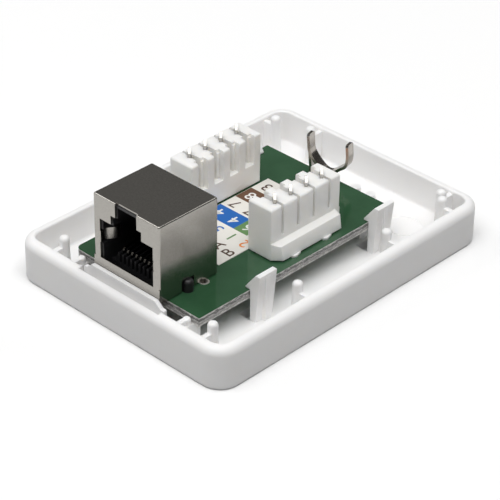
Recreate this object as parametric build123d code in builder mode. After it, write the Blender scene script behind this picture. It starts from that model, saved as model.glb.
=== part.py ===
from build123d import *
import os

os.makedirs("parts", exist_ok=True)

# Base tray: one open moulding, front wall at -Y, lying on its floor
TRAY_WIDTH = 50.8
TRAY_LENGTH = 68.2
TRAY_HEIGHT = 8.3
TRAY_CORNER_R = 4.2
WALL = 2.0
FLOOR = 1.95
RIM_OUTER_R = 1.6
RIM_INNER_R = 0.38
FOOT_R = 0.5
FLOOR_FILLET_R = 0.4

# Groove and raised wall in front of the jack
LEDGE_WIDTH = 19.7
LEDGE_THICKNESS = 0.8
LEDGE_RISE = 1.1
LEDGE_SLOPE = 1.3
LEDGE_SHOULDER = 0.75
LEDGE_ROUND_R = 0.3
GROOVE_WIDTH = 0.95
GROOVE_DEPTH = 2.2

# Snap hooks that hold the board down by its long edges
HOOK_WIDTH = 4.2
HOOK_ROOT = 1.3
HOOK_TOP_THICKNESS = 2.2
HOOK_OVERHANG = 0.95
HOOK_RISE = 3.3
HOOK_CREST = 1.0
HOOK_TIP = 0.25
HOOK_GAP = 0.15
HOOK_RIB_WIDTH = 1.1
HOOK_RIB_DEPTH = 1.2
HOOK_RIB_DROP = 0.6
HOOK_SETBACKS = (14.1, 44.4)
CORE_HOLE_DEPTH = 2.75

# Tapered guide posts with a round head and a rib to the wall
POST_D = 2.1
POST_HEAD_D = 1.8
POST_HEAD_R = 0.65
POST_WALL_GAP = 1.7
POST_TOP = 1.25
POST_RIB = 1.0
POST_RIB_TOP = -0.7
SIDE_POST_SETBACKS = (20.2, 43.15, 58.45)
FRONT_POST_X = (-17.6, 18.95)
REAR_POST_X = (-13.2, 19.0)

# Rests under the front edge of the board, with a stop in front of it
REST_X = (-12.8, 13.2)
REST_WIDTH = 1.6
REST_REACH = 1.6
REST_STOP_D = 1.5
REST_STOP_RISE = 1.3
REST_STOP_GAP = 0.1
PAD_X = 11.0
PAD_SIZE = 2.0
PAD_SETBACK = 4.0

# Studs behind the board, the thinned round in the floor and a screw hole beside it
STUD_X = (3.2, 6.9)
STUD_D = 1.8
STUD_HEIGHT = 3.8
STUD_REAR_GAP = 8.1
KNOCKOUT_D = 7.0
KNOCKOUT_RING = 0.6
KNOCKOUT_DEPTH = 0.12
KNOCKOUT_X = 14.8
KNOCKOUT_REAR_GAP = 7.7
SCREW_HOLE_D = 3.0
SCREW_HOLE_X = 8.5
SCREW_HOLE_REAR_GAP = 5.8

# Circuit board
BOARD_WIDTH = 30.6
BOARD_LENGTH = 49.2
BOARD_THICKNESS = 1.65
BOARD_CORNER_R = 0.8
BOARD_FRONT_LEFT_R = 1.3
BOARD_FRONT_RIGHT_R = 0.2
BOARD_LIFT = 4.5
BOARD_FRONT_GAP = 3.2
BOARD_TAB = 0.7
BOARD_TAB_LENGTH = 1.7

# Shielded jack: 16 mm wide, latch slot upwards, opening towards -Y
JACK_WIDTH = 16.0
JACK_DEPTH = 13.75
JACK_HEIGHT = 15.4
JACK_OVERHANG = 2.0
SHIELD = 0.3
SHIELD_FOLD_R = 0.38
SHIELD_LIFT = 0.26
PORT_WIDTH = 12.9
PORT_BOTTOM = 3.0
PORT_TOP = 10.8
PORT_STEP_WIDTH = 7.4
PORT_STEP_TOP = 12.55
PORT_LATCH_WIDTH = 5.2
PORT_LATCH_NOTCH = 0.5
LIP_FLARE = 0.12
LIP_BOTTOM = 1.2
PEEP_SETBACK = 5.15
PEEP_LENGTH = 2.9
PEEP_HEIGHT = 2.45
FINGER_BOTTOM = 6.1
FINGER_HEIGHT = 2.2
FINGER_ROOM = 0.3
FINGER_BENDS = ((0.28, 1.93), (0.85, 2.85), (0.95, 3.7))
SHIELD_TAB_WIDTH = 0.95
SHIELD_TAB_SETBACK = 10.3
TAB_BELOW_BOARD = 1.2

# Black insulator and contact carrier of the jack
FIT_GAP = 0.08
CAVITY_WIDTH = 12.0
CAVITY_TOP = 10.5
CAVITY_DEPTH = 12.6
LATCH_STEP_WIDTH = 6.9
LATCH_STEP_TOP = 12.4
LATCH_SLOT_WIDTH = 4.6
LATCH_SLOT_TOP = 14.5
HOUSING_SKIN = 0.5
SILL_THICKNESS = 1.5
SILL_TOP = 1.2
NUB_D = 1.9
NUB_HEIGHT = 2.35
NUB_HEAD_R = 0.6
PEG_D = 3.0
PEG_SPACING = 11.4
PEG_SETBACK = 6.0
PEG_BELOW_BOARD = 1.3
CARRIER_TOP = 2.2
COMB_HEIGHT = 1.95
COMB_LENGTH = 4.0
COMB_RIB = 0.48
CARRIER_BACK_THICKNESS = 2.4
CARRIER_BACK_TOP = 8.6

# Eight spring contacts of the jack
CONTACT_COUNT = 8
CONTACT_PITCH = 1.02
CONTACT_WIDTH = 0.36
CONTACT_THICKNESS = 0.3
CONTACT_RUN_HEIGHT = 1.7
CONTACT_FRONT_SETBACK = 3.2
CONTACT_LIFT = 4.75
CONTACT_REACH = 8.9
CONTACT_TIP_HEIGHT = 5.85
CONTACT_BEND_R = 0.5
TAIL_ROW_SETBACK = 11.1
TAIL_ROW_GAP = 1.2
TAIL_BELOW_BOARD = 1.4

# Insulation displacement blocks, four ways each
WAYS = 4
BLOCK_PITCH = 3.96
BLOCK_LENGTH = 17.6
BLOCK_WIDTH = 5.6
BLOCK_HEIGHT = 10.4
BLOCK_SETBACK = 29.45
RIGHT_BLOCK_INNER_X = 6.4
LEFT_BLOCK_INNER_X = 7.7
LEFT_BLOCK_SHIFT = 0.4
PLINTH_WIDTH = 7.3
PLINTH_EDGE_WIDTH = 6.85
PLINTH_EDGE = 3.1
PLINTH_TOP = 3.6
PLINTH_CORNER = 1.6
PLINTH_REAR_STEP = 1.2
PLINTH_LIFT = 0.35
PLINTH_INSET = 0.8
PLINTH_FEET = (-4.05, 3.85)
PLINTH_FOOT_LENGTH = 2.2
PLINTH_FOOT_REACH = 0.45
PLINTH_FOOT_HEIGHT = 0.45
SLOT_BOTTOM = 4.5
SLOT_OUTER = 0.6
SLOT_WIRE = 1.05
SLOT_WIRE_REACH = 3.2
SLOT_RECESS = 2.35
SLOT_RECESS_DEPTH = 1.3
SLOT_BEAD_D = 0.7
SLOT_BEAD_DROP = 0.6
TOOTH_TOP_R = 0.4
TOOTH_END_R = 0.3
BLADE_POCKET_GAP = 0.1

# Forked blades of the blocks, turned to lie across the wires
BLADE_ANGLE = 135.0
BLADE_WIDTH = 2.1
BLADE_THICKNESS = 0.5
BLADE_TOP = 11.7
BLADE_SLIT = 0.14
BLADE_ENTRY = 0.7
BLADE_SLIT_BOTTOM = 6.2
BLADE_TIP = 0.5
BLADE_SHOULDER = 2.2
BLADE_TAIL_WIDTH = 0.9
BLADE_INSET = 3.55
BLADE_BELOW_BOARD = 1.4

# Paper wiring label
LABEL_WIDTH = 13.8
LABEL_LENGTH = 26.8
LABEL_THICKNESS = 0.12
LABEL_X = -0.5
LABEL_SETBACK = 13.6

# Cable fork at the rear of the board
FORK_TURN = 14.0
FORK_X = 0.55
FORK_REAR_SETBACK = 0.85
FORK_GAP = 7.4
FORK_STRIP = 0.55
FORK_STRIP_WIDTH = 2.0
FORK_TOP = 8.7
FORK_BEND_HEIGHT = 6.5
FORK_TIP_R = 0.45
FORK_TIP_LEAN = 0.2
FORK_BOTTOM = 1.9
FORK_FOOT_WIDTH = 2.4
FORK_LEG_WIDTH = 1.5
FORK_LEG_LEAN = 0.35
FORK_BELOW_BOARD = 1.1
FORK_CHEEK_X = 0.66
FORK_CHEEK_RISE = 1.75

# Plated holes of the shield's tabs, board holes and solder
RING_OFFSET = 0.25
RING_D = 1.9
RING_HOLE_D = 1.35
RING_THICKNESS = 0.06
LAND_ROOM = 0.15
HOLE_GAP = 0.15
SOLDER_PIN_D = 1.15
SOLDER_BLADE_D = 1.8
SOLDER_TAB_D = 2.2
SOLDER_HEIGHT = 0.7
SOLDER_TAPER = 12.0

inner_width = TRAY_WIDTH - 2 * WALL
inner_length = TRAY_LENGTH - 2 * WALL
inner_front = -inner_length / 2
inner_rear = inner_length / 2
inner_side = inner_width / 2
board_under = FLOOR + BOARD_LIFT
board_top = board_under + BOARD_THICKNESS
board_side = BOARD_WIDTH / 2
board_front = inner_front + BOARD_FRONT_GAP
board_middle = board_front + BOARD_LENGTH / 2
board_rear = board_front + BOARD_LENGTH
jack_front = board_front - JACK_OVERHANG
jack_middle = jack_front + JACK_DEPTH / 2
tail_end = board_under - TAIL_BELOW_BOARD


def upright(y):
    """Vertical plane facing the front, at the given place along the length."""
    return Plane(origin=(0, y, 0), x_dir=(1, 0, 0), z_dir=(0, -1, 0))


def sideways(x):
    """Vertical plane across the width, its own x along the length."""
    return Plane(origin=(x, 0, 0), x_dir=(0, 1, 0), z_dir=(1, 0, 0))


def standing(x, y, turn):
    """Vertical plane on the board top whose own x is turned from +X."""
    x_way = Vector(1, 0, 0).rotate(Axis.Z, turn)
    z_way = Vector(0, -1, 0).rotate(Axis.Z, turn)
    return Plane(origin=(x, y, board_top), x_dir=x_way, z_dir=z_way)


# Base tray
hook_inner = board_side + HOOK_GAP
hook_root_outer = hook_inner + HOOK_ROOT
hook_top_outer = hook_inner + HOOK_TOP_THICKNESS
hook_top = board_top + HOOK_GAP + HOOK_RISE
hook_tip = board_side - HOOK_OVERHANG
hook_middles = [board_front + setback for setback in HOOK_SETBACKS]
ledge_back = jack_front - LIP_FLARE - FIT_GAP
post_top = TRAY_HEIGHT + POST_TOP
post_offset = POST_WALL_GAP + POST_D / 2

post_spots = [
    (side * (inner_side - post_offset), jack_front + setback)
    for setback in SIDE_POST_SETBACKS
    for side in (1, -1)
]
post_spots += [(x, inner_front + post_offset) for x in FRONT_POST_X]
post_spots += [(x, inner_rear - post_offset) for x in REAR_POST_X]
stop_spots = [(x, board_front - REST_STOP_GAP - REST_STOP_D / 2) for x in REST_X]
rib_spots = [
    (x, y, (1 if x > 0 else -1, 0)) for x, y in post_spots[: 2 * len(SIDE_POST_SETBACKS)]
]
rib_spots += [
    (x, y, (0, 1 if y > 0 else -1)) for x, y in post_spots[2 * len(SIDE_POST_SETBACKS) :] + stop_spots
]

with BuildPart() as guide_post:
    Cone(
        POST_D / 2,
        POST_HEAD_D / 2,
        post_top - FLOOR,
        align=(Align.CENTER, Align.CENTER, Align.MIN),
    )
    fillet(guide_post.edges().sort_by(Axis.Z)[-1], POST_HEAD_R)

with BuildPart() as board_stop:
    Cylinder(
        REST_STOP_D / 2,
        BOARD_LIFT + REST_STOP_RISE,
        align=(Align.CENTER, Align.CENTER, Align.MIN),
    )
    fillet(board_stop.edges().sort_by(Axis.Z)[-1], REST_STOP_D / 3)

with BuildPart() as base_tray:
    with BuildSketch():
        RectangleRounded(TRAY_WIDTH, TRAY_LENGTH, TRAY_CORNER_R)
    extrude(amount=TRAY_HEIGHT)
    fillet(base_tray.faces().sort_by(Axis.Z)[-1].edges(), RIM_OUTER_R)
    fillet(base_tray.faces().sort_by(Axis.Z)[0].edges(), FOOT_R)
    with BuildSketch(Plane.XY.offset(FLOOR)):
        RectangleRounded(inner_width, inner_length, TRAY_CORNER_R - WALL)
    extrude(amount=TRAY_HEIGHT, mode=Mode.SUBTRACT)
    rim = base_tray.faces().filter_by(Axis.Z).sort_by(Axis.Z)[-1]
    fillet(rim.inner_wires()[0].edges(), RIM_INNER_R)
    floor_face = base_tray.faces().filter_by(Axis.Z).sort_by(Axis.Z)[1]
    fillet(floor_face.edges(), FLOOR_FILLET_R)

    # groove inside the front wall, and the raised wall behind it
    with BuildSketch(Plane.XY.offset(TRAY_HEIGHT - GROOVE_DEPTH)):
        with Locations((0, inner_front - GROOVE_WIDTH)):
            Rectangle(LEDGE_WIDTH, GROOVE_WIDTH + BOARD_FRONT_GAP, align=(Align.CENTER, Align.MIN))
    extrude(amount=GROOVE_DEPTH + POST_TOP, mode=Mode.SUBTRACT)
    ledge_side = LEDGE_WIDTH / 2
    ledge_top_side = ledge_side - LEDGE_SHOULDER - LEDGE_SLOPE
    with BuildSketch(upright(ledge_back)):
        with BuildLine():
            FilletPolyline(
                (-ledge_side, FLOOR),
                (-ledge_side, TRAY_HEIGHT),
                (LEDGE_SHOULDER - ledge_side, TRAY_HEIGHT),
                (-ledge_top_side, TRAY_HEIGHT + LEDGE_RISE),
                (ledge_top_side, TRAY_HEIGHT + LEDGE_RISE),
                (ledge_side - LEDGE_SHOULDER, TRAY_HEIGHT),
                (ledge_side, TRAY_HEIGHT),
                (ledge_side, FLOOR),
                radius=LEDGE_ROUND_R,
            )
            Line((ledge_side, FLOOR), (-ledge_side, FLOOR))
        make_face()
    extrude(amount=LEDGE_THICKNESS)
    with BuildSketch(Plane.XY.offset(FLOOR)):
        with Locations((0, inner_front - GROOVE_WIDTH)):
            Rectangle(LEDGE_WIDTH, ledge_back - inner_front + GROOVE_WIDTH, align=(Align.CENTER, Align.MIN))
    extrude(amount=TRAY_HEIGHT - GROOVE_DEPTH - FLOOR)

    # snap hooks, each with its rib and the opening that its tip is moulded through
    for hook_middle in hook_middles:
        for side in (1, -1):
            with BuildSketch(upright(hook_middle)):
                with BuildLine():
                    Polyline(
                        (side * hook_inner, FLOOR),
                        (side * hook_inner, board_top + HOOK_GAP),
                        (side * hook_tip, board_top + HOOK_GAP),
                        (side * hook_tip, board_top + HOOK_GAP + HOOK_TIP),
                        (side * (hook_top_outer - HOOK_CREST), hook_top),
                        (side * hook_top_outer, hook_top),
                        (side * hook_root_outer, FLOOR),
                        close=True,
                    )
                make_face()
            extrude(amount=HOOK_WIDTH / 2, both=True)
            with BuildSketch(upright(hook_middle)):
                with BuildLine():
                    Polyline(
                        (side * hook_inner, FLOOR),
                        (side * hook_root_outer, hook_top - HOOK_RIB_DROP),
                        (side * hook_top_outer, hook_top - HOOK_RIB_DROP),
                        (side * (hook_root_outer + HOOK_RIB_DEPTH), FLOOR),
                        close=True,
                    )
                make_face()
            extrude(amount=HOOK_RIB_WIDTH / 2, both=True)
    with BuildSketch():
        for hook_middle in hook_middles:
            with Locations(
                (hook_inner - CORE_HOLE_DEPTH / 2, hook_middle),
                (CORE_HOLE_DEPTH / 2 - hook_inner, hook_middle),
            ):
                Rectangle(CORE_HOLE_DEPTH, HOOK_WIDTH)
    extrude(amount=FLOOR, mode=Mode.SUBTRACT)

    # rests under the board's front edge, and two pads further back
    for rest_x in REST_X:
        rest_length = board_front + REST_REACH - inner_front
        with Locations((rest_x, inner_front, FLOOR)):
            Box(REST_WIDTH, rest_length, BOARD_LIFT, align=(Align.CENTER, Align.MIN, Align.MIN))
    for pad_x in (-PAD_X, PAD_X):
        with Locations((pad_x, board_rear - PAD_SETBACK, FLOOR)):
            Box(PAD_SIZE, PAD_SIZE, BOARD_LIFT, align=(Align.CENTER, Align.CENTER, Align.MIN))

    # guide posts and board stops, and the ribs that tie them to the walls
    with Locations(*[(x, y, FLOOR) for x, y in post_spots]):
        add(guide_post.part)
    with Locations(*[(x, y, FLOOR) for x, y in stop_spots]):
        add(board_stop.part)
    rib_height = TRAY_HEIGHT + POST_RIB_TOP - FLOOR
    for rib_x, rib_y, (to_x, to_y) in rib_spots:
        wall_gap = (inner_side - abs(rib_x)) * abs(to_x) + (inner_rear - abs(rib_y)) * abs(to_y)
        reach = wall_gap + WALL / 2
        rib_size = (reach, POST_RIB) if to_x else (POST_RIB, reach)
        with Locations((rib_x + to_x * reach / 2, rib_y + to_y * reach / 2, FLOOR)):
            Box(*rib_size, rib_height, align=(Align.CENTER, Align.CENTER, Align.MIN))

    # studs behind the board
    for stud_x in STUD_X:
        with Locations((stud_x, inner_rear - STUD_REAR_GAP, FLOOR)):
            Cylinder(STUD_D / 2, STUD_HEIGHT, align=(Align.CENTER, Align.CENTER, Align.MIN))

    # ring groove of the knock-out, and the screw hole
    with BuildSketch(Plane.XY.offset(FLOOR - KNOCKOUT_DEPTH)):
        with Locations((KNOCKOUT_X, inner_rear - KNOCKOUT_REAR_GAP)):
            Circle(KNOCKOUT_D / 2)
            Circle(KNOCKOUT_D / 2 - KNOCKOUT_RING, mode=Mode.SUBTRACT)
    extrude(amount=KNOCKOUT_DEPTH, mode=Mode.SUBTRACT)
    with Locations((SCREW_HOLE_X, inner_rear - SCREW_HOLE_REAR_GAP, FLOOR)):
        Hole(SCREW_HOLE_D / 2, FLOOR)
base_tray.part.label = "base_tray"
export_step(base_tray.part, "parts/base_tray.step")


# Places on the board
contact_xs = [(way - (CONTACT_COUNT - 1) / 2) * CONTACT_PITCH for way in range(CONTACT_COUNT)]
tail_ys = [jack_front + TAIL_ROW_SETBACK + (way % 2) * TAIL_ROW_GAP for way in range(CONTACT_COUNT)]
block_y = board_front + BLOCK_SETBACK
blocks = {
    "right": (1, RIGHT_BLOCK_INNER_X, block_y),
    "left": (-1, -LEFT_BLOCK_INNER_X, block_y + LEFT_BLOCK_SHIFT),
}
blade_spots = [
    (inner_x + side * BLADE_INSET, middle_y + (way - (WAYS - 1) / 2) * BLOCK_PITCH)
    for side, inner_x, middle_y in blocks.values()
    for way in range(WAYS)
]
peg_spots = [(x, jack_front + PEG_SETBACK) for x in (-PEG_SPACING / 2, PEG_SPACING / 2)]
shield_tab_x = JACK_WIDTH / 2 - SHIELD / 2
shield_tab_y = jack_front + SHIELD_TAB_SETBACK
shield_tab_spots = [(-shield_tab_x, shield_tab_y), (shield_tab_x, shield_tab_y)]
land_x = shield_tab_x + RING_OFFSET
land_spots = [(-land_x, shield_tab_y), (land_x, shield_tab_y)]
fork_plane = Plane(origin=(FORK_X, board_rear - FORK_REAR_SETBACK, 0)).rotated((0, 0, FORK_TURN))
fork_side = FORK_GAP / 2 + FORK_STRIP / 2
fork_leg_x = FORK_LEG_LEAN - fork_side


# Circuit board
with BuildPart() as circuit_board:
    with BuildSketch(Plane.XY.offset(board_under)) as board_outline:
        with Locations((0, board_middle)):
            Rectangle(BOARD_WIDTH, BOARD_LENGTH)
        fillet(board_outline.vertices().group_by(Axis.Y)[-1], BOARD_CORNER_R)
        fillet(board_outline.vertices().group_by(Axis.Y)[0].sort_by(Axis.X)[0], BOARD_FRONT_LEFT_R)
        fillet(board_outline.vertices().group_by(Axis.Y)[0].sort_by(Axis.X)[-1], BOARD_FRONT_RIGHT_R)
        with Locations((-board_side - BOARD_TAB, board_rear)):
            Rectangle(BOARD_TAB + BOARD_CORNER_R, BOARD_TAB_LENGTH, align=(Align.MIN, Align.MAX))
        with Locations(*peg_spots):
            Circle(PEG_D / 2 + HOLE_GAP / 2, mode=Mode.SUBTRACT)
        with Locations(*zip(contact_xs, tail_ys)):
            Circle(CONTACT_WIDTH / 2 + HOLE_GAP, mode=Mode.SUBTRACT)
        with Locations(*blade_spots):
            Circle(BLADE_TAIL_WIDTH / 2 + HOLE_GAP, mode=Mode.SUBTRACT)
        with Locations(*land_spots):
            Circle(RING_HOLE_D / 2 + RING_THICKNESS, mode=Mode.SUBTRACT)
    extrude(amount=BOARD_THICKNESS)
    with BuildSketch(fork_plane.offset(board_under)):
        Rectangle(FORK_FOOT_WIDTH + HOLE_GAP, FORK_STRIP + HOLE_GAP)
        with Locations((fork_leg_x, 0)):
            Rectangle(FORK_STRIP + HOLE_GAP, FORK_LEG_WIDTH + HOLE_GAP)
    extrude(amount=BOARD_THICKNESS, mode=Mode.SUBTRACT)
circuit_board.part.label = "circuit_board"
export_step(circuit_board.part, "parts/circuit_board.step")

with BuildPart() as plated_ring:
    with BuildSketch(Plane.XY.offset(board_under - RING_THICKNESS)):
        with Locations(*land_spots):
            Circle(RING_HOLE_D / 2 + RING_THICKNESS)
            Circle(RING_HOLE_D / 2, mode=Mode.SUBTRACT)
    extrude(amount=BOARD_THICKNESS + 2 * RING_THICKNESS)
    for land_z in (board_under - RING_THICKNESS, board_top):
        with BuildSketch(Plane.XY.offset(land_z)):
            with Locations(*land_spots):
                Circle(RING_D / 2)
                Circle(RING_HOLE_D / 2, mode=Mode.SUBTRACT)
        extrude(amount=RING_THICKNESS)
plated_ring.part.label = "plated_ring"
export_step(plated_ring.part, "parts/plated_ring.step")

with BuildPart() as wiring_label:
    with BuildSketch(Plane.XY.offset(board_top)):
        with Locations((LABEL_X, board_front + LABEL_SETBACK)):
            Rectangle(LABEL_WIDTH, LABEL_LENGTH, align=(Align.CENTER, Align.MIN))
    extrude(amount=LABEL_THICKNESS)
wiring_label.part.label = "wiring_label"
export_step(wiring_label.part, "parts/wiring_label.step")


# Shield of the jack: one folded sheet, open below
port_side = PORT_WIDTH / 2
shield_foot = board_top + SHIELD_LIFT
with BuildPart() as jack_shield:
    with BuildSketch(Plane.XY.offset(shield_foot)):
        with Locations((0, jack_middle)):
            Rectangle(JACK_WIDTH, JACK_DEPTH)
    extrude(amount=JACK_HEIGHT - SHIELD_LIFT)
    fillet(
        jack_shield.edges().filter_by(Axis.Z)
        + jack_shield.faces().sort_by(Axis.Z)[-1].edges(),
        SHIELD_FOLD_R,
    )
    with BuildSketch(Plane.XY.offset(shield_foot)):
        with Locations((0, jack_middle)):
            RectangleRounded(
                JACK_WIDTH - 2 * SHIELD, JACK_DEPTH - 2 * SHIELD, SHIELD_FOLD_R - SHIELD
            )
    extrude(amount=JACK_HEIGHT - SHIELD - SHIELD_LIFT, mode=Mode.SUBTRACT)

    # lip below the port, reaching forward by less than a sheet thickness
    with BuildSketch(sideways(-JACK_WIDTH / 2)):
        with BuildLine():
            Polyline(
                (jack_front, board_top + PORT_BOTTOM),
                (jack_front - LIP_FLARE, board_top + LIP_BOTTOM),
                (jack_front - LIP_FLARE, shield_foot),
                (jack_front + SHIELD, shield_foot),
                (jack_front + SHIELD, board_top + PORT_BOTTOM),
                close=True,
            )
        make_face()
    extrude(amount=JACK_WIDTH)

    # port: main opening, step and latch slot up to the top fold
    with BuildSketch(upright(jack_front + SHIELD)):
        with Locations((0, board_top + PORT_BOTTOM)):
            Rectangle(PORT_WIDTH, PORT_TOP - PORT_BOTTOM, align=(Align.CENTER, Align.MIN))
            Rectangle(PORT_STEP_WIDTH, PORT_STEP_TOP - PORT_BOTTOM, align=(Align.CENTER, Align.MIN))
            Rectangle(
                PORT_LATCH_WIDTH,
                JACK_HEIGHT - SHIELD - PORT_BOTTOM,
                align=(Align.CENTER, Align.MIN),
            )
    extrude(amount=SHIELD + LIP_FLARE, mode=Mode.SUBTRACT)
    with Locations((0, jack_front, board_top + JACK_HEIGHT)):
        Box(
            PORT_LATCH_WIDTH,
            PORT_LATCH_NOTCH,
            2 * SHIELD,
            align=(Align.CENTER, Align.MIN, Align.CENTER),
            mode=Mode.SUBTRACT,
        )

    # grounding fingers, bent back into the port from its side edges
    with BuildSketch(Plane.XY.offset(board_top + FINGER_BOTTOM)):
        for side in (1, -1):
            with BuildLine():
                Spline(
                    (side * port_side, jack_front),
                    *[(side * (port_side - inset), jack_front + back) for inset, back in FINGER_BENDS],
                )
            trace(line_width=SHIELD * 0.8)
    extrude(amount=FINGER_HEIGHT)

    # openings low in the side walls, where the insulator shows
    with BuildSketch(sideways(-JACK_WIDTH / 2)):
        with Locations((jack_front + PEEP_SETBACK, board_top)):
            Rectangle(PEEP_LENGTH, PEEP_HEIGHT, align=(Align.MIN, Align.MIN))
    extrude(amount=JACK_WIDTH, mode=Mode.SUBTRACT)

    # solder tabs through the board
    tab_height = BOARD_THICKNESS + TAB_BELOW_BOARD
    for tab_x, tab_y in shield_tab_spots:
        with Locations((tab_x, tab_y, board_top - tab_height)):
            Box(
                SHIELD,
                SHIELD_TAB_WIDTH,
                tab_height + 2 * SHIELD_LIFT,
                align=(Align.CENTER, Align.CENTER, Align.MIN),
            )
jack_shield.part.label = "jack_shield"
export_step(jack_shield.part, "parts/jack_shield.step")


# Black insulator of the jack
housing_width = JACK_WIDTH - 2 * SHIELD - 2 * FIT_GAP
housing_front = jack_front + SHIELD + FIT_GAP
housing_back = jack_front + JACK_DEPTH - SHIELD - FIT_GAP
housing_top = board_top + JACK_HEIGHT - SHIELD - FIT_GAP
cavity_back = jack_front + CAVITY_DEPTH
carrier_back = housing_back - FIT_GAP
with BuildPart() as side_nub:
    Cylinder(NUB_D / 2, NUB_HEIGHT, align=(Align.CENTER, Align.CENTER, Align.MIN))
    fillet(side_nub.edges().sort_by(Axis.Z)[-1], NUB_HEAD_R)

with BuildPart() as jack_housing:
    with BuildSketch(Plane.XY.offset(board_top)):
        with Locations((0, housing_front)):
            Rectangle(
                housing_width, housing_back - housing_front, align=(Align.CENTER, Align.MIN)
            )
    extrude(amount=housing_top - board_top)

    # plug cavity with the latch step and slot, open to the front
    with BuildSketch(upright(housing_front)):
        with Locations((0, board_top + SILL_TOP)):
            Rectangle(CAVITY_WIDTH, CAVITY_TOP - SILL_TOP, align=(Align.CENTER, Align.MIN))
            Rectangle(LATCH_STEP_WIDTH, LATCH_STEP_TOP - SILL_TOP, align=(Align.CENTER, Align.MIN))
            Rectangle(LATCH_SLOT_WIDTH, LATCH_SLOT_TOP - SILL_TOP, align=(Align.CENTER, Align.MIN))
    extrude(amount=housing_front - cavity_back, mode=Mode.SUBTRACT)

    # bay for the contact carrier, pushed in from the rear
    with BuildSketch(Plane.XY.offset(board_top + HOUSING_SKIN)):
        with Locations((0, housing_front + SILL_THICKNESS)):
            Rectangle(CAVITY_WIDTH, JACK_DEPTH, align=(Align.CENTER, Align.MIN))
    extrude(amount=CARRIER_BACK_TOP + FIT_GAP - HOUSING_SKIN, mode=Mode.SUBTRACT)
    with BuildSketch(Plane.XY.offset(board_top)):
        with Locations((0, min(tail_ys) - TAIL_ROW_GAP)):
            Rectangle(CAVITY_WIDTH, JACK_DEPTH, align=(Align.CENTER, Align.MIN))
    extrude(amount=HOUSING_SKIN, mode=Mode.SUBTRACT)

    # room for the grounding fingers beside the cavity
    finger_reach = FINGER_BENDS[-1][1] + FINGER_ROOM
    with BuildSketch(Plane.XY.offset(board_top + FINGER_BOTTOM - FINGER_ROOM)):
        for side in (1, -1):
            with Locations((side * CAVITY_WIDTH / 2, housing_front)):
                Rectangle(
                    PORT_WIDTH - CAVITY_WIDTH + 2 * FINGER_ROOM,
                    finger_reach,
                    align=(Align.CENTER, Align.MIN),
                )
    extrude(amount=FINGER_HEIGHT + 2 * FINGER_ROOM, mode=Mode.SUBTRACT)

    # nubs that stand out through the low side openings of the shield
    for side in (1, -1):
        with Locations((side * JACK_WIDTH / 2, jack_front + PEEP_SETBACK + PEEP_LENGTH / 2, board_top)):
            add(side_nub.part)

    # undersides cut clear of the plated lands, and the snap pegs
    with Locations(*[(x, y, board_top) for x, y in land_spots]):
        Cylinder(RING_D / 2 + FIT_GAP, 2 * LAND_ROOM, mode=Mode.SUBTRACT)
    peg_length = BOARD_THICKNESS + PEG_BELOW_BOARD
    for peg_x, peg_y in peg_spots:
        with Locations((peg_x, peg_y, board_top - peg_length)):
            Cylinder(
                PEG_D / 2,
                peg_length + HOUSING_SKIN,
                align=(Align.CENTER, Align.CENTER, Align.MIN),
            )
jack_housing.part.label = "jack_housing"
export_step(jack_housing.part, "parts/jack_housing.step")


def spring_outline(tail_y, grow):
    """Side outline of a jack contact: tail, run along the floor, rise and sloping spring."""
    width = CONTACT_THICKNESS + 2 * grow
    with BuildSketch() as outline:
        with BuildLine():
            FilletPolyline(
                (tail_y, tail_end - grow),
                (tail_y, board_top + CONTACT_RUN_HEIGHT),
                (jack_front + CONTACT_FRONT_SETBACK, board_top + CONTACT_RUN_HEIGHT),
                (jack_front + CONTACT_FRONT_SETBACK - CONTACT_BEND_R, board_top + CONTACT_LIFT),
                (jack_front + CONTACT_REACH, board_top + CONTACT_TIP_HEIGHT),
                radius=CONTACT_BEND_R,
            )
        trace(line_width=width)
    return outline.sketch_local


# Contact carrier: floor with a comb, and a rear wall that the tails run down
carrier_front = housing_front + SILL_THICKNESS + FIT_GAP
carrier_width = CAVITY_WIDTH - 2 * FIT_GAP
with BuildPart() as contact_carrier:
    with BuildSketch(sideways(-carrier_width / 2)):
        with BuildLine():
            Polyline(
                (carrier_front, board_top + HOUSING_SKIN + FIT_GAP),
                (carrier_back, board_top + HOUSING_SKIN + FIT_GAP),
                (carrier_back, board_top + CARRIER_BACK_TOP),
                (carrier_back - CARRIER_BACK_THICKNESS / 2, board_top + CARRIER_BACK_TOP),
                (carrier_back - CARRIER_BACK_THICKNESS, board_top + CARRIER_TOP + COMB_HEIGHT),
                (carrier_back - CARRIER_BACK_THICKNESS, board_top + CARRIER_TOP),
                (carrier_front, board_top + CARRIER_TOP),
                close=True,
            )
        make_face()
    extrude(amount=carrier_width)
    with BuildSketch(upright(carrier_front)):
        for edge_way in range(CONTACT_COUNT + 1):
            comb_x = (edge_way - CONTACT_COUNT / 2) * CONTACT_PITCH
            with Locations((comb_x, board_top + CARRIER_TOP)):
                Rectangle(COMB_RIB, COMB_HEIGHT - COMB_RIB / 2, align=(Align.CENTER, Align.MIN))
            with Locations((comb_x, board_top + CARRIER_TOP + COMB_HEIGHT - COMB_RIB / 2)):
                Circle(COMB_RIB / 2)
    extrude(amount=-COMB_LENGTH)
    for contact_x, tail_y in zip(contact_xs, tail_ys):
        with BuildSketch(sideways(contact_x - CONTACT_WIDTH / 2 - FIT_GAP)):
            add(spring_outline(tail_y, FIT_GAP))
        extrude(amount=CONTACT_WIDTH + 2 * FIT_GAP, mode=Mode.SUBTRACT)
contact_carrier.part.label = "contact_carrier"
export_step(contact_carrier.part, "parts/contact_carrier.step")

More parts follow.
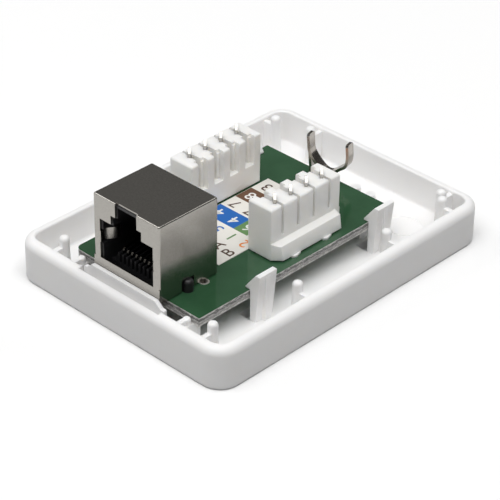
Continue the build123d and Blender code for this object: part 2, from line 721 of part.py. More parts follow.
for way, (contact_x, tail_y) in enumerate(zip(contact_xs, tail_ys), start=1):
    with BuildPart() as jack_contact:
        with BuildSketch(sideways(contact_x - CONTACT_WIDTH / 2)):
            add(spring_outline(tail_y, 0))
        extrude(amount=CONTACT_WIDTH)
    jack_contact.part.label = f"jack_contact_{way}"
    export_step(jack_contact.part, f"parts/jack_contact_{way}.step")


# Insulation displacement blocks: the left one is the right one turned half round
def terminal_block(side, inner_x, middle_y):
    """Four-way block whose inner face stands at inner_x, its plinth reaching outwards."""
    ground = Plane(origin=(inner_x, middle_y, board_top), x_dir=(side, 0, 0), z_dir=(0, 0, 1))
    end = Plane(
        origin=(inner_x, middle_y + side * BLOCK_LENGTH / 2, board_top),
        x_dir=(side, 0, 0),
        z_dir=(0, -side, 0),
    )
    way_ys = [(way - (WAYS - 1) / 2) * BLOCK_PITCH for way in range(WAYS)]
    end_y = BLOCK_LENGTH / 2
    with BuildPart() as block:
        with BuildSketch(ground):
            with Locations((BLOCK_WIDTH / 2, 0)):
                Rectangle(BLOCK_WIDTH, BLOCK_LENGTH)
        extrude(amount=BLOCK_HEIGHT)
        fillet(block.edges().filter_by(Axis.Z), TOOTH_END_R)
        fillet(block.faces().sort_by(Axis.Z)[-1].edges(), TOOTH_TOP_R)

        # plinth: one corner cut off, the other stepped, its outer side leaning in to a sloped top
        with BuildSketch(ground):
            with BuildLine():
                Polyline(
                    (TOOTH_END_R, -end_y),
                    (BLOCK_WIDTH, -end_y),
                    (PLINTH_WIDTH, PLINTH_CORNER - end_y),
                    (PLINTH_WIDTH, end_y - PLINTH_REAR_STEP),
                    (BLOCK_WIDTH, end_y - PLINTH_REAR_STEP),
                    (BLOCK_WIDTH, end_y),
                    (TOOTH_END_R, end_y),
                    close=True,
                )
            make_face()
        extrude(amount=PLINTH_TOP)
        with BuildSketch(end):
            with BuildLine():
                Polyline(
                    (PLINTH_WIDTH, 0),
                    (PLINTH_EDGE_WIDTH, PLINTH_EDGE),
                    (BLOCK_WIDTH, PLINTH_TOP),
                    (2 * PLINTH_WIDTH, PLINTH_TOP),
                    (2 * PLINTH_WIDTH, 0),
                    close=True,
                )
            make_face()
        extrude(amount=BLOCK_LENGTH, mode=Mode.SUBTRACT)

        # underside lifted off the board round the edge, and two small feet
        with BuildSketch(ground):
            with Locations((BLOCK_WIDTH / 2, 0)):
                Rectangle(4 * BLOCK_WIDTH, 2 * BLOCK_LENGTH)
                Rectangle(
                    BLOCK_WIDTH - 2 * PLINTH_INSET,
                    BLOCK_LENGTH - 2 * PLINTH_INSET,
                    mode=Mode.SUBTRACT,
                )
        extrude(amount=PLINTH_LIFT, mode=Mode.SUBTRACT)
        with BuildSketch(ground):
            for foot_y in PLINTH_FEET:
                with BuildLine():
                    Polyline(
                        (BLOCK_WIDTH, foot_y - PLINTH_FOOT_LENGTH / 2),
                        (PLINTH_WIDTH, foot_y - PLINTH_FOOT_LENGTH / 2),
                        (PLINTH_WIDTH + PLINTH_FOOT_REACH, foot_y - PLINTH_FOOT_LENGTH / 6),
                        (PLINTH_WIDTH, foot_y + PLINTH_FOOT_LENGTH / 2),
                        (BLOCK_WIDTH, foot_y + PLINTH_FOOT_LENGTH / 2),
                        close=True,
                    )
                make_face()
        extrude(amount=PLINTH_FOOT_HEIGHT)

        # wire slots: open recess at the inner side, channel to the blade, narrow outlet
        with BuildSketch(ground.offset(SLOT_BOTTOM)):
            for way_y in way_ys:
                with Locations((BLOCK_WIDTH / 2, way_y)):
                    Rectangle(BLOCK_WIDTH, SLOT_OUTER)
                with Locations((0, way_y)):
                    Rectangle(2 * SLOT_RECESS_DEPTH, SLOT_RECESS)
                    Rectangle(2 * SLOT_WIRE_REACH, SLOT_WIRE)
        extrude(amount=BLOCK_HEIGHT, mode=Mode.SUBTRACT)

        # round beads beside each channel, just inside its recess
        with BuildSketch(ground.offset(SLOT_BOTTOM)):
            for way_y in way_ys:
                for edge in (-1, 1):
                    with Locations((SLOT_RECESS_DEPTH, way_y + edge * (SLOT_WIRE + SLOT_BEAD_D) / 2)):
                        Circle(SLOT_BEAD_D / 2)
        extrude(amount=BLOCK_HEIGHT - SLOT_BOTTOM - SLOT_BEAD_DROP)

        # slanted pockets that the blades stand in
        with BuildSketch(ground):
            for way_y in way_ys:
                with Locations((BLADE_INSET, way_y)):
                    Rectangle(
                        BLADE_WIDTH + BLADE_POCKET_GAP,
                        BLADE_THICKNESS + BLADE_POCKET_GAP,
                        rotation=BLADE_ANGLE,
                    )
        extrude(amount=BLOCK_HEIGHT, mode=Mode.SUBTRACT)
    return block.part


for hand, (side, inner_x, middle_y) in blocks.items():
    with BuildPart() as block_part:
        add(terminal_block(side, inner_x, middle_y))
    block_part.part.label = f"terminal_block_{hand}"
    export_step(block_part.part, f"parts/terminal_block_{hand}.step")

tail_length = BOARD_THICKNESS + BLADE_BELOW_BOARD
for way, (blade_x, blade_y) in enumerate(blade_spots, start=1):
    with BuildPart() as idc_contact:
        with BuildSketch(standing(blade_x, blade_y, BLADE_ANGLE)):
            with BuildLine():
                Polyline(
                    (-BLADE_WIDTH / 2, BLADE_POCKET_GAP),
                    (BLADE_WIDTH / 2, BLADE_POCKET_GAP),
                    (BLADE_WIDTH / 2, BLADE_TOP - BLADE_TIP),
                    (BLADE_WIDTH / 2 - BLADE_TIP, BLADE_TOP),
                    (BLADE_TIP - BLADE_WIDTH / 2, BLADE_TOP),
                    (-BLADE_WIDTH / 2, BLADE_TOP - BLADE_TIP),
                    close=True,
                )
            make_face()
            with Locations((0, BLADE_SLIT_BOTTOM)):
                Rectangle(
                    BLADE_SLIT,
                    BLADE_TOP,
                    align=(Align.CENTER, Align.MIN),
                    mode=Mode.SUBTRACT,
                )
            with Locations((0, BLADE_TOP)):
                Rectangle(BLADE_ENTRY, BLADE_ENTRY, rotation=45, mode=Mode.SUBTRACT)
            with Locations((0, -tail_length)):
                Rectangle(
                    BLADE_TAIL_WIDTH,
                    tail_length + BLADE_SHOULDER,
                    align=(Align.CENTER, Align.MIN),
                )
        extrude(amount=BLADE_THICKNESS / 2, both=True)
    idc_contact.part.label = f"idc_contact_{way}"
    export_step(idc_contact.part, f"parts/idc_contact_{way}.step")


# Cable fork: one bent strip with a foot and a leg through the board
fork_origin = fork_plane.origin
fork_front = standing(fork_origin.X, fork_origin.Y, FORK_TURN).offset(FORK_STRIP_WIDTH / 2)
fork_leg_front = standing(fork_origin.X, fork_origin.Y, FORK_TURN).offset(FORK_LEG_WIDTH / 2)
fork_middle = standing(fork_origin.X, fork_origin.Y, FORK_TURN).offset(FORK_STRIP / 2)
fork_depth = BOARD_THICKNESS + FORK_BELOW_BOARD
fork_low = FORK_BOTTOM - FORK_STRIP / 2
with BuildPart() as cable_fork:
    with BuildSketch(fork_front):
        with BuildLine():
            Line((-fork_side - FORK_TIP_LEAN, FORK_TOP), (-fork_side, FORK_BEND_HEIGHT))
            Spline(
                (-fork_side, FORK_BEND_HEIGHT),
                (-fork_side * FORK_CHEEK_X, fork_low + FORK_CHEEK_RISE),
                (0, fork_low),
                (fork_side * FORK_CHEEK_X, fork_low + FORK_CHEEK_RISE),
                (fork_side, FORK_BEND_HEIGHT),
                tangents=((0, -1), (0, 1)),
            )
            Line((fork_side, FORK_BEND_HEIGHT), (fork_side - FORK_TIP_LEAN, FORK_TOP))
        trace(line_width=FORK_STRIP)
    extrude(amount=-FORK_STRIP_WIDTH)
    tip_corners = cable_fork.edges().filter_by(
        lambda edge: edge.center().Z > board_top + FORK_TOP - FORK_STRIP / 4
        and edge.length < FORK_STRIP + FIT_GAP
    )
    fillet(tip_corners, FORK_TIP_R)

    # leg straight down from the left arm to its slot
    with BuildSketch(fork_leg_front):
        with BuildLine():
            Polyline(
                (fork_leg_x, -fork_depth),
                (fork_leg_x, FORK_BOTTOM),
                (-fork_side, FORK_BEND_HEIGHT),
            )
        trace(line_width=FORK_STRIP)
    extrude(amount=-FORK_LEG_WIDTH)

    # foot under the middle
    with BuildSketch(fork_middle):
        with Locations((0, -fork_depth)):
            Rectangle(FORK_FOOT_WIDTH, fork_depth + fork_low, align=(Align.CENTER, Align.MIN))
    extrude(amount=-FORK_STRIP)
cable_fork.part.label = "cable_fork"
export_step(cable_fork.part, "parts/cable_fork.step")


# Solder under the board, one cone around each tail and tab
with BuildPart() as solder_joints:
    with BuildSketch(Plane.XY.offset(board_under)):
        with Locations(*zip(contact_xs, tail_ys)):
            Circle(SOLDER_PIN_D / 2)
        with Locations(*blade_spots):
            Circle(SOLDER_BLADE_D / 2)
    extrude(amount=-SOLDER_HEIGHT, taper=SOLDER_TAPER)
    with BuildSketch(Plane.XY.offset(board_under - RING_THICKNESS)):
        with Locations(*land_spots):
            Circle(SOLDER_TAB_D / 2)
    extrude(amount=-SOLDER_HEIGHT, taper=SOLDER_TAPER)
    with BuildSketch(fork_plane.offset(board_under)):
        Rectangle(FORK_FOOT_WIDTH + SOLDER_HEIGHT, FORK_STRIP + SOLDER_HEIGHT)
        with Locations((fork_leg_x, 0)):
            Rectangle(FORK_STRIP + SOLDER_HEIGHT, FORK_LEG_WIDTH + SOLDER_HEIGHT)
    extrude(amount=-SOLDER_HEIGHT, taper=SOLDER_TAPER)
    with BuildSketch(Plane.XY.offset(board_under)):
        for contact_x, tail_y in zip(contact_xs, tail_ys):
            with Locations((contact_x, tail_y)):
                Rectangle(CONTACT_WIDTH, CONTACT_THICKNESS)
        for blade_x, blade_y in blade_spots:
            with Locations((blade_x, blade_y)):
                Rectangle(BLADE_TAIL_WIDTH, BLADE_THICKNESS, rotation=BLADE_ANGLE)
        with Locations(*shield_tab_spots):
            Rectangle(SHIELD, SHIELD_TAB_WIDTH)
    extrude(amount=-SOLDER_HEIGHT - RING_THICKNESS, mode=Mode.SUBTRACT)
    with BuildSketch(fork_plane.offset(board_under)):
        Rectangle(FORK_FOOT_WIDTH, FORK_STRIP)
        with Locations((fork_leg_x, 0)):
            Rectangle(FORK_STRIP, FORK_LEG_WIDTH)
    extrude(amount=-SOLDER_HEIGHT, mode=Mode.SUBTRACT)
solder_joints.part.label = "solder_joints"
export_step(solder_joints.part, "parts/solder_joints.step")
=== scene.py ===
import math

import bpy
from mathutils import Matrix, Vector


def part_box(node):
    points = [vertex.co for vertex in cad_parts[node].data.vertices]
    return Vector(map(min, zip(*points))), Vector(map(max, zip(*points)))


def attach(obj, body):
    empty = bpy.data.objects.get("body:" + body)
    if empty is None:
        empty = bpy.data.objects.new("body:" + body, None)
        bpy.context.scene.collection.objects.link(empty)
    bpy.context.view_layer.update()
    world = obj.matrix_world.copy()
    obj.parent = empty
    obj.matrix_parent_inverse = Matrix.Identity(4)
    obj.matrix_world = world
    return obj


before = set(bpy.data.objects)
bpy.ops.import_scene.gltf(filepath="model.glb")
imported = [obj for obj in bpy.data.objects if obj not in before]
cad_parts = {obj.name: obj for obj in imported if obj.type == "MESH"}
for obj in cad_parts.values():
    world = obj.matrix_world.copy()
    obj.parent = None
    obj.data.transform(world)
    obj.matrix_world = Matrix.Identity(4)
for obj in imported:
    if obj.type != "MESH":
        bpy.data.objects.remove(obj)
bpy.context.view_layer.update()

MM = 0.001

# The camera stands in front and to the right of the outlet and looks down on it,
# a little turned, from about 36 cm with a long lens.
camera_azimuth, camera_elevation, camera_roll = (math.radians(v) for v in (43.538, 33.215, 0.884))
camera_aim = Vector((6.803, -7.984, 8.1)) * MM
camera_distance = 362.984 * MM
camera_back = Vector(
    (
        math.sin(camera_azimuth) * math.cos(camera_elevation),
        -math.cos(camera_azimuth) * math.cos(camera_elevation),
        math.sin(camera_elevation),
    )
)
camera_right = Vector((0, 0, 1)).cross(camera_back).normalized()
camera_up = camera_back.cross(camera_right)
rolled_right = camera_right * math.cos(camera_roll) + camera_up * math.sin(camera_roll)
rolled_up = camera_up * math.cos(camera_roll) - camera_right * math.sin(camera_roll)
camera_lens = bpy.data.cameras.new("camera")
focal_length_in_pixels = 2084.58
photo_width_in_pixels = 500
camera_lens.sensor_width = 36
camera_lens.lens = focal_length_in_pixels / photo_width_in_pixels * camera_lens.sensor_width
camera_lens.clip_start = 0.01
camera_lens.clip_end = 20
camera = bpy.data.objects.new("camera", camera_lens)
camera.matrix_world = Matrix.Translation(camera_aim + camera_back * camera_distance) @ Matrix(
    (rolled_right, rolled_up, camera_back)
).transposed().to_4x4()
bpy.context.scene.collection.objects.link(camera)
bpy.context.scene.camera = camera
bpy.context.scene.view_settings.view_transform = "Standard"


# The studio: a white matt floor, one wide soft lamp high up in front, and small ones
# in front, on the left and behind that draw bright lines along the sheet metal's folds.
def shading(name):
    """A new material's nodes, its links, its shader and itself."""
    finish = bpy.data.materials.new(name)
    finish.use_nodes = True
    return finish.node_tree.nodes, finish.node_tree.links, finish.node_tree.nodes["Principled BSDF"], finish


floor_reach = 1.5
floor_corners = [(sx * floor_reach, sy * floor_reach, 0) for sx, sy in ((-1, -1), (1, -1), (1, 1), (-1, 1))]
floor_mesh = bpy.data.meshes.new("floor")
floor_mesh.from_pydata(floor_corners, [], [(0, 1, 2, 3)])
studio_floor = bpy.data.objects.new("floor", floor_mesh)
bpy.context.scene.collection.objects.link(studio_floor)
nodes, links, shader, floor_paint = shading("floor_paint")
shader.inputs["Roughness"].default_value = 0.9
shader.inputs["Specular IOR Level"].default_value = 0.0
# White as the camera, metal and glass see it; what it throws back on the outlet is
# that of a grey table.
light_path = nodes.new("ShaderNodeLightPath")
seen_or_mirrored = nodes.new("ShaderNodeMath")
seen_or_mirrored.operation = "MAXIMUM"
seen_in_any_way = nodes.new("ShaderNodeMath")
seen_in_any_way.operation = "MAXIMUM"
floor_tone = nodes.new("ShaderNodeMix")
floor_tone.data_type = "RGBA"
floor_tone.inputs["A"].default_value = (0.33, 0.33, 0.33, 1)
floor_tone.inputs["B"].default_value = (0.97, 0.97, 0.97, 1)
links.new(light_path.outputs["Is Camera Ray"], seen_or_mirrored.inputs[0])
links.new(light_path.outputs["Is Glossy Ray"], seen_or_mirrored.inputs[1])
links.new(seen_or_mirrored.outputs["Value"], seen_in_any_way.inputs[0])
links.new(light_path.outputs["Is Transmission Ray"], seen_in_any_way.inputs[1])
links.new(seen_in_any_way.outputs["Value"], floor_tone.inputs["Factor"])
links.new(floor_tone.outputs["Result"], shader.inputs["Base Color"])
floor_mesh.materials.append(floor_paint)


def soft_lamp(name, place, size, power):
    """A square lamp at a place in metres, facing the middle of the outlet."""
    light = bpy.data.lights.new(name, "AREA")
    light.shape = "SQUARE"
    light.size = size
    light.energy = power
    lamp = bpy.data.objects.new(name, light)
    lamp.location = place
    lamp.rotation_euler = (Vector(place) - Vector((0, 0, 0.01))).to_track_quat("Z", "Y").to_euler()
    bpy.context.scene.collection.objects.link(lamp)


soft_lamp("lamp_high", (0.32, -0.34, 1.65), 1.9, 34.0)
soft_lamp("lamp_left", (-0.72, -0.42, 0.74), 0.42, 1.5)
soft_lamp("lamp_front", (-0.55, -0.70, 0.24), 0.35, 0.5)
soft_lamp("lamp_behind", (0.30, 0.75, 0.80), 0.36, 1.0)
studio_world = bpy.data.worlds.new("surroundings")
bpy.context.scene.world = studio_world
studio_world.use_nodes = True
# A dim wall behind on the left, half way up, which the sheet metal's top mirrors; all
# else is darker.
wall_direction = (-0.577, 0.607, 0.547)
sky_nodes, sky_links = studio_world.node_tree.nodes, studio_world.node_tree.links
sky_way = sky_nodes.new("ShaderNodeTexCoord")
towards_wall = sky_nodes.new("ShaderNodeVectorMath")
towards_wall.operation = "DOT_PRODUCT"
towards_wall.inputs[1].default_value = wall_direction
sky_tone = sky_nodes.new("ShaderNodeValToRGB")
sky_tone.color_ramp.elements[0].position = 0.55
sky_tone.color_ramp.elements[1].position = 0.92
sky_tone.color_ramp.elements[0].color = (0.070, 0.069, 0.067, 1)
sky_tone.color_ramp.elements[1].color = (0.182, 0.181, 0.179, 1)
sky_links.new(sky_way.outputs["Generated"], towards_wall.inputs[0])
sky_links.new(towards_wall.outputs["Value"], sky_tone.inputs["Fac"])
sky_links.new(sky_tone.outputs["Color"], sky_nodes["Background"].inputs["Color"])
sky_nodes["Background"].inputs["Strength"].default_value = 1.0


# Base tray: one white moulding with hooks, posts and ribs, its surface finely
# textured by the tool. Also the way that a CAD node gets its finish.
def dress(node_names, finish):
    """Gives CAD nodes their finish in place of the plain one."""
    for node_name in node_names:
        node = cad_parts[node_name]
        node.data.materials.clear()
        node.data.materials.append(finish)


def fine_bump(nodes, links, shader, grain, strength, distance, detail=3.0):
    """Small unevenness: noise at a grain and a depth in metres. Hands back the coordinates."""
    place = nodes.new("ShaderNodeTexCoord")
    noise = nodes.new("ShaderNodeTexNoise")
    noise.inputs["Scale"].default_value = 1 / grain
    noise.inputs["Detail"].default_value = detail
    bump = nodes.new("ShaderNodeBump")
    bump.inputs["Strength"].default_value = strength
    bump.inputs["Distance"].default_value = distance
    links.new(place.outputs["Object"], noise.inputs["Vector"])
    links.new(noise.outputs["Fac"], bump.inputs["Height"])
    links.new(bump.outputs["Normal"], shader.inputs["Normal"])
    return place


def clouded(nodes, links, place, scale, low, high):
    """A colour that drifts with noise between two tones, at a scale in clouds per metre."""
    drift = nodes.new("ShaderNodeTexNoise")
    drift.inputs["Scale"].default_value = scale
    drift.inputs["Detail"].default_value = 4.0
    ramp = nodes.new("ShaderNodeValToRGB")
    ramp.color_ramp.elements[0].position = 0.35
    ramp.color_ramp.elements[1].position = 0.65
    ramp.color_ramp.elements[0].color = (*low, 1)
    ramp.color_ramp.elements[1].color = (*high, 1)
    links.new(place.outputs["Object"], drift.inputs["Vector"])
    links.new(drift.outputs["Fac"], ramp.inputs["Fac"])
    return ramp


nodes, links, shader, tray_white = shading("tray_white")
place = fine_bump(nodes, links, shader, 0.35 * MM, 0.12, 0.03 * MM)
tone = clouded(nodes, links, place, 90, (0.930, 0.921, 0.915), (0.950, 0.941, 0.935))
links.new(tone.outputs["Color"], shader.inputs["Base Color"])
shader.inputs["Roughness"].default_value = 0.42
shader.inputs["IOR"].default_value = 1.47
shader.inputs["Subsurface Weight"].default_value = 0.5
shader.inputs["Subsurface Radius"].default_value = (1.0, 0.96, 0.90)
shader.inputs["Subsurface Scale"].default_value = 1.2 * MM
dress(["base_tray"], tray_white)


# Circuit board: glass laminate with a glossy green mask on both faces. Its sawn edge
# shows the glass plies as rough grey layers, with a pale burr along each face.
saw_grain = 0.5 * MM
layer_waver = 1.3
layer_greys = ((0.20, 0.26), (0.38, 0.36), (0.46, 0.66), (0.54, 0.24), (0.66, 0.13), (0.82, 0.22))
board_low, board_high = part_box("circuit_board")
nodes, links, shader, board_green = shading("board_green")
place = fine_bump(nodes, links, shader, 0.6 * MM, 0.05, 0.012 * MM)
mask_tone = clouded(nodes, links, place, 130, (0.0235, 0.076, 0.034), (0.031, 0.092, 0.043))
edge_stretch = nodes.new("ShaderNodeMapping")
edge_stretch.inputs["Scale"].default_value = (0.5, 0.5, 2.2)
edge_noise = nodes.new("ShaderNodeTexNoise")
edge_noise.inputs["Scale"].default_value = 1 / saw_grain
edge_noise.inputs["Detail"].default_value = 5.0
edge_noise.inputs["Roughness"].default_value = 0.7
links.new(place.outputs["Object"], edge_stretch.inputs["Vector"])
links.new(edge_stretch.outputs["Vector"], edge_noise.inputs["Vector"])
# Height within the thickness from 0 to 1, pushed up and down by the noise, picks the
# layer: pale burr, dark glass, a pale ply, dark glass, pale burr.
board_place = nodes.new("ShaderNodeSeparateXYZ")
links.new(place.outputs["Object"], board_place.inputs["Vector"])
layer_height = nodes.new("ShaderNodeMapRange")
layer_height.inputs["From Min"].default_value = board_low.z
layer_height.inputs["From Max"].default_value = board_high.z
ragged = nodes.new("ShaderNodeMath")
ragged.operation = "MULTIPLY_ADD"
ragged.inputs[1].default_value = layer_waver
ragged_middle = nodes.new("ShaderNodeMath")
ragged_middle.operation = "SUBTRACT"
ragged_middle.inputs[1].default_value = layer_waver / 2
edge_tone = nodes.new("ShaderNodeValToRGB")
edge_tone.color_ramp.elements[0].position = 0.08
edge_tone.color_ramp.elements[0].color = (0.72, 0.71, 0.69, 1)
edge_tone.color_ramp.elements[1].position = 0.93
edge_tone.color_ramp.elements[1].color = (0.70, 0.69, 0.67, 1)
for stop, grey in layer_greys:
    edge_tone.color_ramp.elements.new(stop).color = (grey, 0.985 * grey, 0.96 * grey, 1)
links.new(board_place.outputs["Z"], layer_height.inputs["Value"])
links.new(edge_noise.outputs["Fac"], ragged.inputs[0])
links.new(layer_height.outputs["Result"], ragged.inputs[2])
links.new(ragged.outputs["Value"], ragged_middle.inputs[0])
links.new(ragged_middle.outputs["Value"], edge_tone.inputs["Fac"])
facing = nodes.new("ShaderNodeNewGeometry")
facing_parts = nodes.new("ShaderNodeSeparateXYZ")
facing_up = nodes.new("ShaderNodeMath")
facing_up.operation = "ABSOLUTE"
is_face = nodes.new("ShaderNodeMath")
is_face.operation = "GREATER_THAN"
is_face.inputs[1].default_value = 0.5
links.new(facing.outputs["True Normal"], facing_parts.inputs["Vector"])
links.new(facing_parts.outputs["Z"], facing_up.inputs[0])
links.new(facing_up.outputs["Value"], is_face.inputs[0])
board_colour = nodes.new("ShaderNodeMix")
board_colour.data_type = "RGBA"
links.new(is_face.outputs["Value"], board_colour.inputs["Factor"])
links.new(edge_tone.outputs["Color"], board_colour.inputs["A"])
links.new(mask_tone.outputs["Color"], board_colour.inputs["B"])
links.new(board_colour.outputs["Result"], shader.inputs["Base Color"])
board_rough = nodes.new("ShaderNodeMapRange")
board_rough.inputs["To Min"].default_value = 0.75
board_rough.inputs["To Max"].default_value = 0.09
links.new(is_face.outputs["Value"], board_rough.inputs["Value"])
links.new(board_rough.outputs["Result"], shader.inputs["Roughness"])
shader.inputs["IOR"].default_value = 1.55
dress(["circuit_board"], board_green)


# Plated hole beside the jack, and the solder under the board: bright tin.
nodes, links, shader, bright_tin = shading("bright_tin")
place = fine_bump(nodes, links, shader, 0.25 * MM, 0.15, 0.01 * MM)
tone = clouded(nodes, links, place, 900, (0.90, 0.88, 0.83), (0.95, 0.93, 0.89))
links.new(tone.outputs["Color"], shader.inputs["Base Color"])
shader.inputs["Metallic"].default_value = 1.0
shader.inputs["Roughness"].default_value = 0.48
dress(["plated_ring"], bright_tin)
dress(["solder_joints"], bright_tin)


# Wiring label: printed paper stuck between the blocks, a grid of cells four across
# and five deep, some in the wire colours, each with a number.
label_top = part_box("wiring_label")[1].z
cell_columns = (-7.35, -3.55, 0.0, 3.35, 6.40)
cell_rows = (11.35, 7.00, 2.85, -0.95, -5.22, -9.25)
ink_blue = (0.004, 0.118, 0.44)
ink_brown = (0.135, 0.062, 0.030)
ink_green = (0.120, 0.250, 0.085)
ink_orange = (0.80, 0.26, 0.05)
paper_white = (0.80, 0.78, 0.73)
nodes, links, shader, label_paper = shading("label_paper")
place = fine_bump(nodes, links, shader, 0.12 * MM, 0.10, 0.01 * MM)
paper_tone = clouded(nodes, links, place, 250, (0.775, 0.755, 0.705), paper_white)
label_place = nodes.new("ShaderNodeSeparateXYZ")
links.new(place.outputs["Object"], label_place.inputs["Vector"])


def printed_cell(colour_below, column_from, column_to, row, ink):
    """Ink where the place lies between two columns and within one row: the product of two pulses."""
    inside = []
    for axis, low, high in (
        ("X", cell_columns[column_from], cell_columns[column_to]),
        ("Y", cell_rows[row + 1], cell_rows[row]),
    ):
        pulse = nodes.new("ShaderNodeMath")
        pulse.operation = "COMPARE"
        pulse.inputs[1].default_value = (low + high) / 2 * MM
        pulse.inputs[2].default_value = (high - low) / 2 * MM
        links.new(label_place.outputs[axis], pulse.inputs[0])
        inside.append(pulse)
    both = nodes.new("ShaderNodeMath")
    both.operation = "MULTIPLY"
    links.new(inside[0].outputs["Value"], both.inputs[0])
    links.new(inside[1].outputs["Value"], both.inputs[1])
    mixed = nodes.new("ShaderNodeMix")
    mixed.data_type = "RGBA"
    mixed.inputs["B"].default_value = (*ink, 1)
    links.new(both.outputs["Value"], mixed.inputs["Factor"])
    links.new(colour_below, mixed.inputs["A"])
    return mixed.outputs["Result"]


label_colour = paper_tone.outputs["Color"]
label_colour = printed_cell(label_colour, 0, 2, 1, ink_brown)
label_colour = printed_cell(label_colour, 0, 2, 3, ink_blue)
label_colour = printed_cell(label_colour, 2, 4, 1, ink_orange)
label_colour = printed_cell(label_colour, 2, 3, 3, ink_green)
links.new(label_colour, shader.inputs["Base Color"])
shader.inputs["Roughness"].default_value = 0.55
dress(["wiring_label"], label_paper)


def label_ink(name, ink):
    """Flat ink with a slight mottle."""
    nodes, links, shader, finish = shading(name)
    place = fine_bump(nodes, links, shader, 0.1 * MM, 0.08, 0.005 * MM)
    tone = clouded(nodes, links, place, 1500, tuple(0.9 * v for v in ink), ink)
    links.new(tone.outputs["Color"], shader.inputs["Base Color"])
    shader.inputs["Roughness"].default_value = 0.5
    return finish


ink_finishes = {
    "blue": label_ink("ink_blue", ink_blue),
    "brown": label_ink("ink_brown", (0.075, 0.035, 0.018)),
    "green": label_ink("ink_green", ink_green),
    "orange": label_ink("ink_orange", ink_orange),
    "white": label_ink("ink_white", (0.86, 0.86, 0.84)),
}
number_height = 3.35 * MM
ink_thickness = 0.008 * MM


def print_words(words, name, place_x, place_y, turn, ink):
    """Flat lettering on the paper, its middle at a place in metres and its reading turned about Z."""
    lettering = bpy.data.curves.new("number", "FONT")
    lettering.body = words
    lettering.size = number_height
    lettering.align_x = "CENTER"
    lettering.align_y = "CENTER"
    lettering.extrude = ink_thickness / 2
    lettering.offset = 0.02 * MM
    written = bpy.data.objects.new("number", lettering)
    bpy.context.scene.collection.objects.link(written)
    bpy.context.view_layer.update()
    shape = bpy.data.meshes.new_from_object(written.evaluated_get(bpy.context.evaluated_depsgraph_get()))
    bpy.data.objects.remove(written)
    shape.name = name
    shape.transform(
        Matrix.Translation((place_x, place_y, label_top + ink_thickness / 2))
        @ Matrix.Rotation(math.radians(turn), 4, "Z")
    )
    shape.materials.clear()
    shape.materials.append(ink_finishes[ink])
    number = bpy.data.objects.new(name, shape)
    bpy.context.scene.collection.objects.link(number)
    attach(number, "root")


def print_number(words, column, row, ink):
    """A number in the middle of a cell, which reads from the cable end."""
    middle_x = (cell_columns[column] + cell_columns[column + 1]) / 2 * MM
    middle_y = (cell_rows[row] + cell_rows[row + 1]) / 2 * MM
    print_words(words, f"label_number_{words}_{column}_{row}", middle_x, middle_y, 180, ink)


print_number("3", 0, 0, "brown")
print_number("3", 1, 0, "brown")
print_number("8", 0, 1, "white")
print_number("8", 1, 1, "white")
print_number("7", 0, 2, "brown")
print_number("7", 1, 2, "brown")
print_number("4", 0, 3, "white")
print_number("4", 1, 3, "white")
print_number("5", 0, 4, "blue")
print_number("5", 1, 4, "blue")
print_number("6", 2, 0, "orange")
print_number("6", 3, 0, "orange")
print_number("2", 2, 1, "white")
print_number("2", 3, 1, "white")
print_number("1", 2, 2, "green")
print_number("3", 3, 2, "green")
print_number("6", 2, 3, "white")
print_number("1", 3, 3, "orange")
print_number("1", 2, 4, "green")
print_number("2", 3, 4, "orange")
print_words("A", "label_heading_left", 1.9 * MM, -10.9 * MM, 90, "brown")
print_words("B", "label_heading_right", 4.9 * MM, -11.4 * MM, 90, "brown")


# Shield of the jack: nickel-plated sheet folded round the insulator, nearly a
# mirror, with the rolled sheet's fine pitting.
nodes, links, shader, shield_sheet = shading("shield_sheet")
place = fine_bump(nodes, links, shader, 0.14 * MM, 0.08, 0.003 * MM, detail=4.0)
tone = clouded(nodes, links, place, 4200, (0.345, 0.331, 0.305), (0.405, 0.388, 0.358))
links.new(tone.outputs["Color"], shader.inputs["Base Color"])
rolled = nodes.new("ShaderNodeTexNoise")
rolled.inputs["Scale"].default_value = 3200
rolled.inputs["Detail"].default_value = 3.0
rolled_rough = nodes.new("ShaderNodeMapRange")
rolled_rough.inputs["From Min"].default_value = 0.3
rolled_rough.inputs["From Max"].default_value = 0.7
rolled_rough.inputs["To Min"].default_value = 0.19
rolled_rough.inputs["To Max"].default_value = 0.24
links.new(place.outputs["Object"], rolled.inputs["Vector"])
links.new(rolled.outputs["Fac"], rolled_rough.inputs["Value"])
links.new(rolled_rough.outputs["Result"], shader.inputs["Roughness"])
shader.inputs["Metallic"].default_value = 1.0
dress(["jack_shield"], shield_sheet)


# Insulator and contact carrier of the jack: black mouldings.
nodes, links, shader, black_moulding = shading("black_moulding")
place = fine_bump(nodes, links, shader, 0.3 * MM, 0.10, 0.02 * MM)
tone = clouded(nodes, links, place, 300, (0.010, 0.010, 0.011), (0.015, 0.015, 0.016))
links.new(tone.outputs["Color"], shader.inputs["Base Color"])
shader.inputs["Roughness"].default_value = 0.40
dress(["jack_housing", "contact_carrier"], black_moulding)


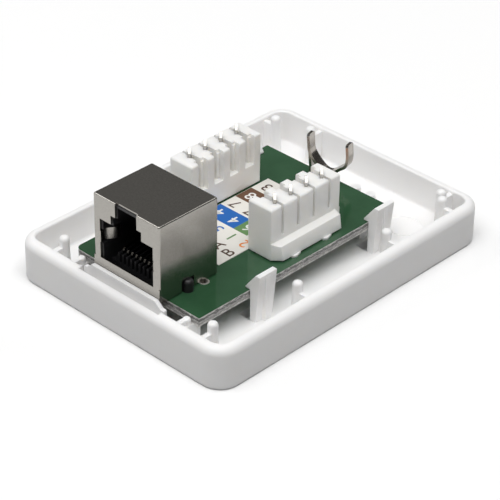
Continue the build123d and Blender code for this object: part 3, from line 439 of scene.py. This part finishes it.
# Eight spring contacts of the jack: smooth plated wire, its colour painted near black as painted shade for
# the depth of the port.
nodes, links, shader, contact_painted_shade = shading("contact_painted_shade")
place = fine_bump(nodes, links, shader, 0.1 * MM, 0.08, 0.005 * MM)
# The near black tone is painted shade and painted-out glints, not the plating's own colour.
tone = clouded(nodes, links, place, 1200, (0.030, 0.028, 0.024), (0.050, 0.047, 0.041))
links.new(tone.outputs["Color"], shader.inputs["Base Color"])
shader.inputs["Metallic"].default_value = 1.0
shader.inputs["Roughness"].default_value = 0.15
dress([f"jack_contact_{way}" for way in range(1, 9)], contact_painted_shade)


# Terminal blocks: warm white mouldings with four slots each.
nodes, links, shader, block_white = shading("block_white")
place = fine_bump(nodes, links, shader, 0.3 * MM, 0.10, 0.02 * MM)
tone = clouded(nodes, links, place, 120, (0.945, 0.930, 0.893), (0.965, 0.950, 0.917))
links.new(tone.outputs["Color"], shader.inputs["Base Color"])
shader.inputs["Roughness"].default_value = 0.40
shader.inputs["Subsurface Weight"].default_value = 0.6
shader.inputs["Subsurface Radius"].default_value = (1.0, 0.94, 0.84)
shader.inputs["Subsurface Scale"].default_value = 1.6 * MM
dress(["terminal_block_right", "terminal_block_left"], block_white)


# Forked blades in the blocks: stamped, tinned spring metal.
nodes, links, shader, blade_tin = shading("blade_tin")
place = fine_bump(nodes, links, shader, 0.2 * MM, 0.08, 0.01 * MM)
tone = clouded(nodes, links, place, 900, (0.42, 0.408, 0.385), (0.50, 0.488, 0.465))
links.new(tone.outputs["Color"], shader.inputs["Base Color"])
shader.inputs["Metallic"].default_value = 1.0
shader.inputs["Roughness"].default_value = 0.32
dress([f"idc_contact_{way}" for way in range(1, 9)], blade_tin)


# Cable fork: one strip of dark plated spring steel, bent to a U.
nodes, links, shader, fork_steel = shading("fork_steel")
place = fine_bump(nodes, links, shader, 0.3 * MM, 0.08, 0.01 * MM)
tone = clouded(nodes, links, place, 600, (0.33, 0.305, 0.275), (0.44, 0.41, 0.375))
links.new(tone.outputs["Color"], shader.inputs["Base Color"])
shader.inputs["Metallic"].default_value = 1.0
shader.inputs["Roughness"].default_value = 0.20
dress(["cable_fork"], fork_steel)
